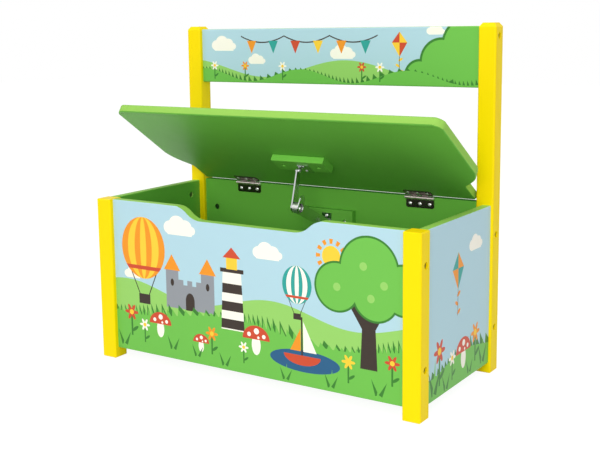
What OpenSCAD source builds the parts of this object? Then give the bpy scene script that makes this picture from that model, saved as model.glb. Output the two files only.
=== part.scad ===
// Child's storage bench: a toy box on four square posts with a hinged seat lid,
// a scooped front panel, a backrest rail and a friction stay that holds the lid up.
// Units are millimetres. +X is to the right of someone facing the front, +Y points
// to the back, +Z is up, and the origin is on the floor under the middle of the box.

/* [Overall] */
// Width over the posts
body_w = 600; // [480:1:800]
// Depth over the posts
body_d = 280; // [240:1:400]
// Height of the box and of the front posts
box_h = 272; // [220:1:340]
// Height of the rear posts
back_h = 554; // [480:1:680]
// Gap between the floor and the lower edge of the panels
leg_clear = 17; // [8:1:60]

/* [Posts] */
// Side of each square post
post = 29; // [26:0.5:38]
// Radius of the eased long edges of a post
post_ease = 3; // [1:0.5:6]
// Bevel round the top of the rear posts
rear_bevel = 5; // [2:0.5:8]
// Bevel round every other post end
end_bevel = 1.5; // [0.5:0.5:3]

/* [Panels] */
// Thickness of the front, side and back panels and of the rail
panel_t = 15; // [14:0.5:16]
// Radius of the eased panel edges
panel_ease = 2; // [0.5:0.5:4]
// How far the front panel is set back from the front posts
front_recess = 8; // [5:0.5:10]
// How far the side panels are set in from the outside of the posts
side_recess = 4; // [1:0.5:8]
// How far the back panel and the rail are set back from the front of the rear posts
back_recess = 7; // [5:0.5:10]
// Height of the backrest rail
rail_h = 95; // [70:1:140]
// Distance from the top of the rear posts to the top of the rail
rail_drop = 5; // [0:1:30]
// Thickness of the bottom panel
bottom_t = 6; // [3:0.5:9]
// Depth of the grooves that hold the bottom panel
groove_d = 5; // [3:0.5:7]
// Height of the grooves above the lower edge of the panels
groove_up = 10; // [6:1:30]

/* [Front scoop] */
// Width of the scoop where it meets the top edge
scoop_w = 284; // [160:2:380]
// Depth of the scoop
scoop_h = 21; // [10:1:40]
// Length of each S-shaped flank
scoop_run = 54; // [40:1:75]

/* [Lid] */
// Angle that the lid stands open at rest
lid_open = 33.7; // [0:0.1:58]
// How far the lid reaches past the posts at each side
lid_side_over = 2; // [0:1:15]
// Thickness of the lid
lid_t = 14; // [12:0.5:14.5]
// How far the closed lid stays behind the front faces of the posts
lid_set_back = 9; // [0:1:15]
// How far the back panel rises above the other panels
back_rise = 3.5; // [3:0.5:6]
// Radius of the front corners
lid_corner = 18; // [6:1:40]
// Radius of the eased lid edges
lid_ease = 3; // [1:0.5:5]
// Side clearance between the lid and each rear post
lid_post_gap = 3; // [1:0.5:6]
// Distance from the hinge axis to where the lid widens past the rear posts
shoulder_start = 46; // [46:1:70]
// Length of the slanted shoulders, measured front to back
shoulder_run = 35; // [30:1:70]
// Radius that blends each shoulder into the side edge
shoulder_r = 60; // [10:1:70]
// Radius that blends each shoulder into the rear tongue
shoulder_fillet = 4; // [3:0.5:10]

/* [Hinges] */
// Distance from each side of the box to the middle of a hinge
hinge_in = 129; // [110:1:180]
// Length of a hinge
hinge_len = 50; // [40:1:70]
// Width of a leaf from the pin axis to its edge
leaf_w = 17; // [15:0.5:25]
// Radius of the outer corners of a leaf
leaf_corner = 3; // [1:0.5:4]
// Thickness of a leaf
leaf_t = 1.3; // [1:0.1:2]
// Outer radius of the knuckles
knuckle_r = 3.2; // [2.8:0.1:4]
// Radius of the hinge pin
hinge_pin_r = 1.5; // [1:0.1:1.8]
// Distance from the pin axis to the leaf screws
leaf_screw_in = 10.5; // [9:0.5:13]
// Drop from the top of the back panel to the pin axis
hinge_drop = 1.5; // [0:0.5:1.5]
// How much further the lid stands from the pin axis than the back panel does
lid_lift = 1; // [1:0.5:2.5]
// Spacing of the three leaf screws
leaf_screw_pitch = 17.5; // [12:0.5:20]

/* [Lid stay] */
// Sideways place of the stay
stay_x = 0; // [-60:1:60]
// Length of the two mounting blocks
block_l = 100; // [80:1:140]
// Thickness of the mounting blocks
block_t = 12; // [10:0.5:14]
// Width of the block under the lid
lid_block_w = 34; // [32:1:40]
// Height of the block on the back panel
back_block_h = 40; // [36:1:60]
// Drop from the box top to the middle of the back block
back_block_drop = 50; // [40:1:70]
// Spacing of the two screws in each block
block_screw_pitch = 68; // [50:1:90]
// Distance from the hinge axis to the middle of the lid block
lid_block_reach = 103; // [90:1:130]
// How far the upper pivot lies behind the middle of the lid block
top_pivot_in = 5; // [0:0.5:5]
// Distance from the face of the back block to the lower pivot
base_stand = 10.5; // [10.5:0.5:14]
// Distance from the face of the lid block to the upper pivot
top_stand = 5.5; // [5.5:0.5:10]
// How far the elbow lies in front of the lower pivot when the lid is at rest
elbow_fwd = 83; // [78:0.5:88]
// How far the elbow lies above the lower pivot when the lid is at rest
elbow_up = 39.5; // [36:0.5:44]
// Radius of the elbow housing
elbow_r = 9; // [8:0.5:11]
// Length of the elbow housing
elbow_len = 10; // [9.5:0.5:14]
// Depth of the housing that stays open beyond the friction pack
cup_free = 3.5; // [2:0.5:4]
// Radius of the stay's pivot pins
stay_pin_r = 2.5; // [2:0.1:3]
// Thickness of the sheet metal of the stay
stay_t = 1.5; // [1:0.1:2]
// Thickness of the upper arm
upper_t = 2.5; // [2:0.1:3.5]

/* [Fasteners] */
// Radius of the joint bolts
bolt_r = 3; // [2.5:0.1:3.5]
// Length of a joint bolt under its head
bolt_l = 50; // [46:1:54]
// Radius of a joint bolt's head
bolt_head_r = 4.8; // [4:0.1:5.2]
// Depth of the recess that hides a bolt head
bolt_sink = 8; // [6:0.5:10]
// Radius of a barrel nut
nut_r = 5; // [4.5:0.1:5.5]
// Distance from the end of a panel to its barrel nuts
nut_in = 25; // [20:1:28]
// Height of the lower row of joint bolts above the floor
bolt_low = 74; // [60:1:90]
// Drop from the box top to the upper row of joint bolts
bolt_high_drop = 48; // [46:1:60]
// Drop from the top of the rear posts to the rail bolt
rail_bolt_drop = 20; // [18:1:30]
// Height difference between the side panel bolts and the rows above
bolt_stagger = 24; // [16:1:26]
// Radius of a wooden dowel
dowel_r = 4; // [3:0.5:5]
// Length of a wooden dowel
dowel_l = 30; // [24:1:40]

/* [Hidden] */

$fn = 48;
eps = 0.01;
// Clearance of a part that turns on a pin, and of a fastener in its hole
run_gap = 0.05;
// Clearance of a panel edge in a groove
groove_gap = 0.3;
// Clearance between a curved part and what it swings past
swing_gap = 0.3;

// Planes of the posts and panels
half_w = body_w / 2;
half_d = body_d / 2;
post_in_x = half_w - post;
post_front_y = -half_d + post;
post_rear_y = half_d - post;
front_face_y = -half_d + front_recess;
front_mid_y = front_face_y + panel_t / 2;
front_inner_y = front_face_y + panel_t;
back_inner_y = post_rear_y + back_recess;
back_mid_y = back_inner_y + panel_t / 2;
side_outer_x = half_w - side_recess;
side_mid_x = side_outer_x - panel_t / 2;
side_inner_x = side_outer_x - panel_t;
panel_h = box_h - leg_clear;
rail_top = back_h - rail_drop;
rail_z = rail_top - rail_h;
bottom_z = leg_clear + groove_up;

// Rows of joint bolts and dowels
bolt_high = box_h - bolt_high_drop;
panel_rows = [bolt_low, bolt_high];
side_rows = [bolt_low - bolt_stagger, bolt_high + bolt_stagger];
dowel_mid = (bolt_low + bolt_high) / 2;
rail_bolt_z = back_h - rail_bolt_drop;
rail_dowel_z = rail_z + rail_bolt_drop;
hole_r = bolt_r + 0.25;
sink_r = bolt_head_r + 0.4;
bolt_head_h = 5;
nut_l = panel_t - 4;
nut_hole_l = panel_t - 2;

// Hinge axis, in the corner between the back panel and the closed lid
hinge_x = half_w - hinge_in;
hinge_off = knuckle_r + swing_gap;
lid_under = hinge_off + lid_lift;
hinge_y = back_inner_y - hinge_off;
hinge_z = box_h + back_rise - hinge_drop;
lid_reach = hinge_y + half_d - lid_set_back;
lid_w = body_w + 2 * lid_side_over;
tongue_x = post_in_x - lid_post_gap;
lid_rear = 0.5;
lap = 0.05;
leaf_gap = 0.3;
knuckles = 5;
knuckle_l = hinge_len / knuckles;
leaf_screw_full = 11;
leaf_screw_cover = 2.5;
leaf_screw_l = min(leaf_screw_full, lid_t - leaf_screw_cover);
leaf_screw_head_r = 2.9;
leaf_screw_head_h = 1.4;
leaf_screw_r = 1.5;
leaf_screw_tip = 1;

// Lid stay: pivots at rest
back_block_z = box_h - back_block_drop;
block_face_y = back_inner_y - block_t;
base_y = block_face_y - base_stand;
base_z = back_block_z - 3;
elbow_y = base_y - elbow_fwd;
elbow_z = base_z + elbow_up;
lid_block_face = lid_under - block_t;
top_local_z = lid_block_face - top_stand;
top_reach = lid_block_reach - top_pivot_in;
top_y = hinge_y - top_reach * cos(lid_open) + top_local_z * sin(lid_open);
top_z = hinge_z + top_reach * sin(lid_open) + top_local_z * cos(lid_open);
lower_len = norm([elbow_fwd, elbow_up]);
upper_len = norm([top_y - elbow_y, top_z - elbow_z]);
lower_tilt = atan2(elbow_up, elbow_fwd);
upper_tilt = atan2(top_z - elbow_z, elbow_y - top_y);

// Lid stay: the stack along the elbow pin, from the web of the lower arm leftwards
ear_x = 7.5;
web_x = stay_x + ear_x - swing_gap - stay_t;
housing_x = web_x - elbow_len;
upper_x = housing_x - swing_gap - upper_t;
washer_t = 1;
housing_wall = 1.5;
pack_x = web_x - cup_free;
spring_n = 2;
spring_h = (pack_x - housing_x - housing_wall - 2 * washer_t) / spring_n;
pin_head_h = 1.6;
arm_end_r = 7.5;
arm_flange = 7;
tab_l = 14;
tab_r = 7.5;
upper_eye_r = 8.5;
// The eye of the upper arm is free on the elbow pin: the loop of the stay is open here
free_eye_r = stay_pin_r + 1.9;
top_eye_r = 4.8;
top_pin_r = 2;
base_plate_w = 2 * (ear_x + stay_t);
base_plate_h = 34;
base_screw_pitch = 24;
base_ear_r = 5;
flange_start = 13;
bracket_w = 22;
bracket_d = 24;
bracket_screw_x = 6;
bracket_screw_y = 7;
block_ease = 2;
block_screw_r = 2;
block_head_r = 3.4;
block_sink = 5;
block_head_h = 2.4;
block_bite = 8;
block_hole = block_bite + 1;
small_head_r = 2.6;
small_screw_r = 1.4;
small_screw_l = 10;

wood_yellow = [0.98, 0.88, 0.04];
wood_green = [0.35, 0.62, 0.24];
edge_green = [0.56, 0.80, 0.36];
print_sky = [0.70, 0.84, 0.89];
metal_dark = [0.20, 0.19, 0.17];
metal_light = [0.80, 0.81, 0.82];
raw_wood = [0.80, 0.66, 0.45];

// ---------------------------------------------------------------- shared shapes

// A square with rounded corners, centred
module soft_square(w, h, r) {
    square([w - 2 * r, h], center = true);
    square([w, h - 2 * r], center = true);
    for (x = [-1, 1], y = [-1, 1]) {
        translate([x * (w / 2 - r), y * (h / 2 - r)]) circle(r);
    }
}

// A bar along X with eased long edges; y and z give its lowest corner
module bar_x(x0, x1, y, z, t, h, r) {
    translate([x0, y + t / 2, z + h / 2])
        rotate([90, 0, 90])
            linear_extrude(x1 - x0) soft_square(t, h, r);
}

// A bar along Y with eased long edges; x and z give its lowest corner
module bar_y(y0, y1, x, z, t, h, r) {
    translate([x + t / 2, y1, z + h / 2])
        rotate([90, 0, 0])
            linear_extrude(y1 - y0) soft_square(t, h, r);
}

// For a corner at p whose edges leave it along the unit vectors a and b:
// half the angle between the edges
function half_angle(a, b) = acos(a * b) / 2;
// the distance along each edge to a blend of radius r
function blend_run(a, b, r) = r / tan(half_angle(a, b));
// the centre of that blend
function blend_mid(p, a, b, r) = p + (a + b) / norm(a + b) * r / sin(half_angle(a, b));

// A plate with round ends: radius r1 at the origin and r2 at distance len along +X,
// joined just inside their common tangents
module link_plate(len, r1, r2, h) {
    a = acos((r1 - r2) / len);
    s1 = r1 - 0.02;
    s2 = r2 - 0.02;
    cylinder(h = h, r = r1);
    translate([len, 0, 0]) cylinder(h = h, r = r2);
    linear_extrude(h) polygon([
        [s1 * cos(a), s1 * sin(a)],
        [len + s2 * cos(a), s2 * sin(a)],
        [len + s2 * cos(a), -s2 * sin(a)],
        [s1 * cos(a), -s1 * sin(a)]
    ]);
}

// A cylinder along X from x0 to x1, through y and z
module rod_x(x0, x1, y, z, r) {
    translate([x0, y, z]) rotate([0, 90, 0]) cylinder(h = x1 - x0, r = r);
}

// A cylinder along Y from y0 to y1, through x and z
module rod_y(y0, y1, x, z, r) {
    translate([x, y1, z]) rotate([90, 0, 0]) cylinder(h = y1 - y0, r = r);
}

// A cross-head screw on the Z axis: flat under its head at z = 0, shank downwards
module screw(head_r, head_h, shank_r, shank_l) {
    difference() {
        rotate_extrude() {
            translate([0, -shank_l]) square([shank_r, shank_l]);
            intersection() {
                square([head_r, head_h]);
                translate([0, head_h - 1.6 * head_r]) circle(1.6 * head_r);
            }
        }
        for (turn = [0, 90]) {
            rotate([0, 0, turn])
                translate([-head_r / 2, -0.4, head_h - 1])
                    cube([head_r, 0.8, 2]);
        }
    }
}

// Places its children in the lid's own frame: hinge axis on X, closed lid along -Y
module on_lid() {
    translate([0, hinge_y, hinge_z]) rotate([-lid_open, 0, 0]) children();
}

// ---------------------------------------------------------------- posts

// The bolt recess and shank hole across a post, from its outer side face at x = half_w
module post_bolt_hole_x(y, z) {
    rod_x(half_w - bolt_sink, half_w + 1, y, z, sink_r);
    rod_x(post_in_x - 1, half_w, y, z, hole_r);
}

// A right-hand post with its middle at [x, y]; bevel is the bevel round its top
module post_body(x, y, h, bevel) {
    size = 2 * post;
    translate([x, y, 0]) difference() {
        linear_extrude(h) soft_square(post, post, post_ease);
        for (turn = [0, 90, 180, 270]) {
            rotate([0, 0, turn]) {
                translate([post / 2 - bevel, -size / 2, h])
                    rotate([0, 54, 0])
                        cube([size, size, size]);
                translate([post / 2 - end_bevel, -size / 2, 0])
                    rotate([0, -45, 0])
                        translate([0, 0, -size])
                            cube([size, size, size]);
            }
        }
    }
}

module post_front() {
    color(wood_yellow) difference() {
        post_body(half_w - post / 2, -half_d + post / 2, box_h, end_bevel);
        for (z = panel_rows) post_bolt_hole_x(front_mid_y, z);
        rod_x(post_in_x - 1, post_in_x + dowel_l / 2, front_mid_y, dowel_mid, dowel_r + run_gap);
        for (z = [side_rows[0], dowel_mid + bolt_stagger, side_rows[1]]) {
            rod_y(post_front_y - dowel_l / 2, post_front_y + 1, side_mid_x, z, dowel_r + run_gap);
        }
    }
}

module post_rear() {
    color(wood_yellow) difference() {
        post_body(half_w - post / 2, half_d - post / 2, back_h, rear_bevel);
        for (z = concat(panel_rows, [rail_bolt_z])) post_bolt_hole_x(back_mid_y, z);
        for (z = [dowel_mid, rail_dowel_z]) {
            rod_x(post_in_x - 1, post_in_x + dowel_l / 2, back_mid_y, z, dowel_r + run_gap);
        }
        for (z = side_rows) {
            rod_y(half_d - bolt_sink, half_d + 1, side_mid_x, z, sink_r);
            rod_y(post_rear_y - 1, half_d, side_mid_x, z, hole_r);
        }
    }
}

// ---------------------------------------------------------------- panels

// Bolt, barrel nut and dowel holes in both ends of a panel that lies along X.
// nut_y is the face where the barrel nuts go in, and nut_dir points into the panel.
module end_holes_x(y, nut_y, nut_dir, bolt_rows, dowel_rows) {
    for (side = [0, 1]) mirror([side, 0, 0]) {
        for (z = bolt_rows) {
            rod_x(half_w - bolt_sink - bolt_l - 1, post_in_x + 1, y, z, hole_r);
            y0 = nut_dir > 0 ? nut_y - 1 : nut_y - nut_hole_l;
            rod_y(y0, y0 + nut_hole_l + 1, post_in_x - nut_in, z, nut_r + run_gap);
        }
        for (z = dowel_rows) {
            rod_x(post_in_x - dowel_l / 2, post_in_x + 1, y, z, dowel_r + run_gap);
        }
    }
}

// One flank of the scoop, between x = foot and x = foot + scoop_run
module scoop_flank(foot, low, high) {
    r = (scoop_run * scoop_run + scoop_h * scoop_h) / (4 * scoop_h);
    mid_x = foot + scoop_run / 2;
    mid_z = (low + high) / 2;
    intersection() {
        translate([foot, low + r]) circle(r, $fn = 128);
        translate([foot - eps, low]) square([mid_x - foot + 2 * eps, mid_z - low + eps]);
    }
    translate([foot - eps, mid_z]) square([mid_x - foot + 2 * eps, high - mid_z + 1]);
    difference() {
        translate([mid_x, mid_z]) square([scoop_run / 2, high - mid_z + 1]);
        translate([foot + scoop_run, high - r]) circle(r, $fn = 128);
    }
}

// The scoop in the top edge of the front panel, in X and Z
module scoop() {
    foot = scoop_w / 2 - scoop_run;
    low = box_h - scoop_h;
    translate([-foot - eps, low]) square([2 * foot + 2 * eps, scoop_h + 1]);
    for (side = [0, 1]) mirror([side, 0]) scoop_flank(foot, low, box_h);
}

module front_panel() {
    color(print_sky) difference() {
        bar_x(-post_in_x, post_in_x, front_face_y, leg_clear, panel_t, panel_h, panel_ease);
        translate([0, front_inner_y + 1, 0])
            rotate([90, 0, 0])
                linear_extrude(panel_t + 2) scoop();
        translate([-post_in_x - 1, front_inner_y - groove_d, bottom_z])
            cube([2 * post_in_x + 2, groove_d + 1, bottom_t + groove_gap]);
        end_holes_x(front_mid_y, front_inner_y, -1, panel_rows, [dowel_mid]);
    }
}

module back_panel() {
    color(wood_green) difference() {
        bar_x(-post_in_x, post_in_x, back_inner_y, leg_clear, panel_t, panel_h + back_rise, panel_ease);
        translate([-post_in_x - 1, back_inner_y - 1, bottom_z])
            cube([2 * post_in_x + 2, groove_d + 1, bottom_t + groove_gap]);
        end_holes_x(back_mid_y, back_inner_y, 1, panel_rows, [dowel_mid]);
        for (side = [-1, 1], i = [-1, 0, 1]) {
            rod_y(back_inner_y - 1, back_inner_y + leaf_screw_l,
                  side * hinge_x + i * leaf_screw_pitch, hinge_z - leaf_screw_in,
                  leaf_screw_r + run_gap);
        }
        for (side = [-1, 1]) {
            rod_y(back_inner_y - 1, back_inner_y + block_hole,
                  stay_x + side * block_screw_pitch / 2, back_block_z, block_screw_r + run_gap);
        }
    }
}

// A right-hand side panel
module side_panel() {
    color(print_sky) difference() {
        bar_y(post_front_y, post_rear_y, side_inner_x, leg_clear, panel_t, panel_h, panel_ease);
        translate([side_inner_x - 1, post_front_y - 1, bottom_z])
            cube([groove_d + 1, post_rear_y - post_front_y + 2, bottom_t + groove_gap]);
        for (z = side_rows) {
            rod_y(half_d - bolt_sink - bolt_l - 1, post_rear_y + 1, side_mid_x, z, hole_r);
            rod_x(side_inner_x - 1, side_inner_x + nut_hole_l, post_rear_y - nut_in, z,
                  nut_r + run_gap);
        }
        for (z = [side_rows[0], dowel_mid + bolt_stagger, side_rows[1]]) {
            rod_y(post_front_y - 1, post_front_y + dowel_l / 2, side_mid_x, z, dowel_r + run_gap);
        }
    }
}

// The bottom lies in the grooves of the four panels, and its corners clear the posts
module bottom_panel() {
    tuck = groove_d - groove_gap;
    wide = 2 * (side_inner_x + tuck);
    y0 = front_inner_y - tuck;
    y1 = back_inner_y + tuck;
    color(wood_green) difference() {
        translate([-wide / 2, y0, bottom_z]) cube([wide, y1 - y0, bottom_t]);
        for (sx = [-1, 1], sy = [-1, 1]) {
            size = 2 * post;
            translate([sx * (post_in_x - groove_gap + size / 2),
                       sy * (post_rear_y - groove_gap + size / 2), bottom_z])
                cube([size, size, 3 * bottom_t], center = true);
        }
    }
}

module backrest_rail() {
    color(print_sky) difference() {
        bar_x(-post_in_x, post_in_x, back_inner_y, rail_z, panel_t, rail_h, panel_ease);
        end_holes_x(back_mid_y, back_inner_y + panel_t, -1, [rail_bolt_z], [rail_dowel_z]);
    }
}

// ---------------------------------------------------------------- joint fasteners

// A socket-head bolt along -X, with the underside of its head at the origin
module joint_bolt() {
    rotate([0, 90, 0]) difference() {
        union() {
            cylinder(h = bolt_head_h, r = bolt_head_r);
            translate([0, 0, -bolt_l]) cylinder(h = bolt_l, r = bolt_r);
        }
        translate([0, 0, bolt_head_h - 3]) cylinder(h = 4, r = 2.3, $fn = 6);
    }
}

// Right-hand bolts: the pairs in the panels, the rail bolt, and the pair from the back
module joint_bolts_right() {
    seat = half_w - bolt_sink;
    for (z = panel_rows, y = [front_mid_y, back_mid_y]) translate([seat, y, z]) joint_bolt();
    translate([seat, back_mid_y, rail_bolt_z]) joint_bolt();
    for (z = side_rows) {
        translate([side_mid_x, half_d - bolt_sink, z]) rotate([0, 0, 90]) joint_bolt();
    }
}

// A barrel nut along Y with its cross hole along X, centred
module barrel_nut() {
    difference() {
        rod_y(-nut_l / 2, nut_l / 2, 0, 0, nut_r);
        rod_x(-nut_r - 1, nut_r + 1, 0, 0, bolt_r + run_gap);
    }
}

module barrel_nuts_right() {
    x = post_in_x - nut_in;
    for (z = panel_rows) {
        translate([x, front_inner_y - nut_hole_l + nut_l / 2, z]) barrel_nut();
        translate([x, back_inner_y + nut_hole_l - nut_l / 2, z]) barrel_nut();
    }
    translate([x, back_inner_y + panel_t - nut_hole_l + nut_l / 2, rail_bolt_z]) barrel_nut();
    for (z = side_rows) {
        translate([side_inner_x + nut_hole_l - nut_l / 2, post_rear_y - nut_in, z])
            rotate([0, 0, 90])
                barrel_nut();
    }
}

module wooden_dowels_right() {
    for (y = [front_mid_y, back_mid_y]) {
        rod_x(post_in_x - dowel_l / 2, post_in_x + dowel_l / 2, y, dowel_mid, dowel_r);
    }
    rod_x(post_in_x - dowel_l / 2, post_in_x + dowel_l / 2, back_mid_y, rail_dowel_z, dowel_r);
    for (z = [side_rows[0], dowel_mid + bolt_stagger, side_rows[1]]) {
        rod_y(post_front_y - dowel_l / 2, post_front_y + dowel_l / 2, side_mid_x, z, dowel_r);
    }
}

// Both sides of a set that is drawn for the right
module both_sides() {
    for (side = [0, 1]) mirror([side, 0, 0]) children();
}

// ---------------------------------------------------------------- lid

// Outline of the lid from above, hinge axis on X and the front towards -Y.
// It runs a hair past the eased edges, so that they cut it cleanly.
module lid_outline() {
    rear = lid_rear + lap;
    side_x = lid_w / 2 + lap;
    front = -lid_reach - lap;
    p_in = [tongue_x, -shoulder_start];
    p_out = [side_x, -shoulder_start - shoulder_run];
    slant = (p_out - p_in) / norm(p_out - p_in);
    ahead = [0, -1];
    run_out = blend_run(-slant, ahead, shoulder_r);
    run_in = blend_run(slant, -ahead, shoulder_fillet);
    right = [
        [side_x - lid_corner, front], [side_x, front + lid_corner],
        p_out + ahead * run_out, p_out - slant * run_out,
        p_in + slant * run_in, p_in - ahead * run_in, [tongue_x, rear]
    ];
    left = [for (i = [len(right) - 1:-1:0]) [-right[i][0], right[i][1]]];
    difference() {
        union() {
            polygon(concat(right, left));
            for (side = [0, 1]) mirror([side, 0]) {
                translate([side_x - lid_corner, front + lid_corner]) circle(lid_corner);
                translate(blend_mid(p_out, -slant, ahead, shoulder_r))
                    circle(shoulder_r, $fn = 96);
            }
        }
        for (side = [0, 1]) mirror([side, 0]) {
            translate(blend_mid(p_in, slant, -ahead, shoulder_fillet)) circle(shoulder_fillet);
        }
    }
}

module lid() {
    color(wood_green) on_lid() difference() {
        intersection() {
            translate([0, 0, lid_under]) linear_extrude(lid_t) lid_outline();
            bar_x(-lid_w, lid_w, -lid_reach, lid_under, lid_reach + lid_rear, lid_t, lid_ease);
            bar_y(-lid_reach - 1, lid_rear + 1, -lid_w / 2, lid_under, lid_w, lid_t, lid_ease);
        }
        for (side = [-1, 1], i = [-1, 0, 1]) {
            translate([side * hinge_x + i * leaf_screw_pitch, -leaf_screw_in, lid_under - 1])
                cylinder(h = 1 + leaf_screw_l, r = leaf_screw_r + run_gap);
        }
        for (side = [-1, 1]) {
            translate([stay_x + side * block_screw_pitch / 2, -lid_block_reach, lid_under - 1])
                cylinder(h = 1 + block_hole, r = block_screw_r + run_gap);
        }
    }
}

// ---------------------------------------------------------------- hinges

// X range of knuckle i, counted from the left end of a hinge
function knuckle_x0(i) = -hinge_len / 2 + i * knuckle_l + leaf_gap / 2;
function knuckle_x1(i) = -hinge_len / 2 + (i + 1) * knuckle_l - leaf_gap / 2;

// A leaf that hangs down from the pin axis on X, with its flat face at y = off.
// own lists the knuckles that it carries, and other those of its mate.
module leaf(own, other, off) {
    difference() {
        union() {
            difference() {
                translate([0, off, (leaf_corner - leaf_w) / 2])
                    rotate([90, 0, 0])
                        linear_extrude(leaf_t)
                            soft_square(hinge_len, leaf_w + leaf_corner, leaf_corner);
                translate([-hinge_len, off - leaf_t - 1, 0])
                    cube([2 * hinge_len, leaf_t + 2, leaf_corner + 1]);
            }
            for (i = own) {
                rod_x(knuckle_x0(i), knuckle_x1(i), 0, 0, knuckle_r);
                translate([knuckle_x0(i), 0, -0.7 * knuckle_r])
                    cube([knuckle_x1(i) - knuckle_x0(i), off - leaf_t / 2, 0.7 * knuckle_r]);
            }
        }
        rod_x(-hinge_len, hinge_len, 0, 0, hinge_pin_r + run_gap);
        for (i = other) {
            translate([knuckle_x0(i) - leaf_gap, -knuckle_r - 1, -knuckle_r - swing_gap])
                cube([knuckle_l + leaf_gap, knuckle_r + off + 2, 2 * knuckle_r + 1]);
        }
        for (i = [-1, 0, 1]) {
            rod_y(off - leaf_t - 1, off + 1, i * leaf_screw_pitch, -leaf_screw_in,
                  leaf_screw_r + run_gap);
        }
    }
}

module back_leaf(side) {
    color(metal_dark) translate([side * hinge_x, hinge_y, hinge_z])
        leaf([0, 2, 4], [1, 3], hinge_off);
}

// The mate of the back leaf: the same shape with Y and Z exchanged
module lid_leaf(side) {
    color(metal_dark) on_lid()
        translate([side * hinge_x, 0, 0])
            mirror([0, 1, -1])
                leaf([1, 3], [0, 2, 4], lid_under);
}

module hinge_pin(side) {
    reach = hinge_len / 2 + 0.2;
    color(metal_dark) translate([side * hinge_x, hinge_y, hinge_z]) {
        rod_x(-reach, reach, 0, 0, hinge_pin_r);
        for (s = [0, 1]) mirror([s, 0, 0]) rod_x(reach, reach + 1, 0, 0, hinge_pin_r + 0.7);
    }
}

module back_leaf_screws() {
    color(metal_light) for (side = [-1, 1], i = [-1, 0, 1]) {
        translate([side * hinge_x + i * leaf_screw_pitch, back_inner_y - leaf_t,
                   hinge_z - leaf_screw_in])
            rotate([90, 0, 0])
                screw(leaf_screw_head_r, leaf_screw_head_h, leaf_screw_r,
                      leaf_t + leaf_screw_l - leaf_screw_tip);
    }
}

module lid_leaf_screws() {
    color(metal_light) on_lid() for (side = [-1, 1], i = [-1, 0, 1]) {
        translate([side * hinge_x + i * leaf_screw_pitch, -leaf_screw_in, lid_under - leaf_t])
            rotate([180, 0, 0])
                screw(leaf_screw_head_r, leaf_screw_head_h, leaf_screw_r,
                      leaf_t + leaf_screw_l - leaf_screw_tip);
    }
}

// ---------------------------------------------------------------- stay, fixed to the lid

module lid_stay_block() {
    color(wood_green) on_lid() difference() {
        bar_x(stay_x - block_l / 2, stay_x + block_l / 2, -lid_block_reach - lid_block_w / 2,
              lid_block_face, lid_block_w, block_t, block_ease);
        for (side = [-1, 1]) {
            translate([stay_x + side * block_screw_pitch / 2, -lid_block_reach, 0]) {
                translate([0, 0, lid_block_face - 1])
                    cylinder(h = block_sink + 1, r = block_head_r + 0.3);
                translate([0, 0, lid_block_face])
                    cylinder(h = block_t + 1, r = block_screw_r + run_gap);
            }
            for (i = [-1, 1]) {
                translate([stay_x + bracket_screw_x, -top_reach + i * bracket_screw_y,
                           lid_block_face - 1])
                    cylinder(h = small_screw_l + 1, r = small_screw_r + run_gap);
            }
        }
    }
}

module lid_block_screws() {
    color(metal_light) on_lid() for (side = [-1, 1]) {
        translate([stay_x + side * block_screw_pitch / 2, -lid_block_reach,
                   lid_block_face + block_sink])
            rotate([180, 0, 0])
                screw(block_head_r, block_head_h, block_screw_r, block_t - block_sink + block_bite);
    }
}

// A plate on the lid block with one ear beside the upper arm
module lid_stay_bracket() {
    ear0 = upper_x + upper_t + swing_gap;
    plate_z = lid_block_face - stay_t;
    color(metal_light) on_lid() difference() {
        union() {
            translate([ear0, -top_reach - bracket_d / 2, plate_z])
                cube([bracket_w, bracket_d, stay_t]);
            translate([ear0, -top_reach, top_local_z])
                rotate([90, 0, 90])
                    linear_extrude(stay_t) {
                        circle(top_eye_r);
                        translate([-top_eye_r, 0]) square([2 * top_eye_r, plate_z - top_local_z + 0.5]);
                    }
        }
        rod_x(ear0 - 1, ear0 + stay_t + 1, -top_reach, top_local_z, top_pin_r + run_gap);
        for (i = [-1, 1]) {
            translate([stay_x + bracket_screw_x, -top_reach + i * bracket_screw_y, plate_z - 1])
                cylinder(h = stay_t + 2, r = small_screw_r + run_gap);
        }
    }
}

module lid_bracket_screws() {
    color(metal_light) on_lid() for (i = [-1, 1]) {
        translate([stay_x + bracket_screw_x, -top_reach + i * bracket_screw_y,
                   lid_block_face - stay_t])
            rotate([180, 0, 0])
                screw(small_head_r, 1.4, small_screw_r, stay_t + small_screw_l - 0.5);
    }
}

// A rivet through the bracket's ear and the upper arm
module upper_pivot_pin() {
    x0 = upper_x - swing_gap;
    x1 = upper_x + upper_t + swing_gap + stay_t;
    color(metal_light) on_lid() {
        rod_x(x0 - 0.1, x1 + 0.1, -top_reach, top_local_z, top_pin_r);
        rod_x(x0 - 1.4, x0, -top_reach, top_local_z, top_pin_r + 1.6);
        rod_x(x1, x1 + 1.2, -top_reach, top_local_z, top_pin_r + 1.4);
    }
}

// ---------------------------------------------------------------- stay, fixed to the back

module back_stay_block() {
    color(wood_green) difference() {
        bar_x(stay_x - block_l / 2, stay_x + block_l / 2, block_face_y,
              back_block_z - back_block_h / 2, block_t, back_block_h, block_ease);
        for (side = [-1, 1]) {
            x = stay_x + side * block_screw_pitch / 2;
            rod_y(block_face_y - 1, block_face_y + block_sink, x, back_block_z, block_head_r + 0.3);
            rod_y(block_face_y, back_inner_y + 1, x, back_block_z, block_screw_r + run_gap);
        }
        for (i = [-1, 1]) {
            rod_y(block_face_y - 1, block_face_y + small_screw_l, stay_x,
                  base_z + i * base_screw_pitch / 2, small_screw_r + run_gap);
        }
    }
}

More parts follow.
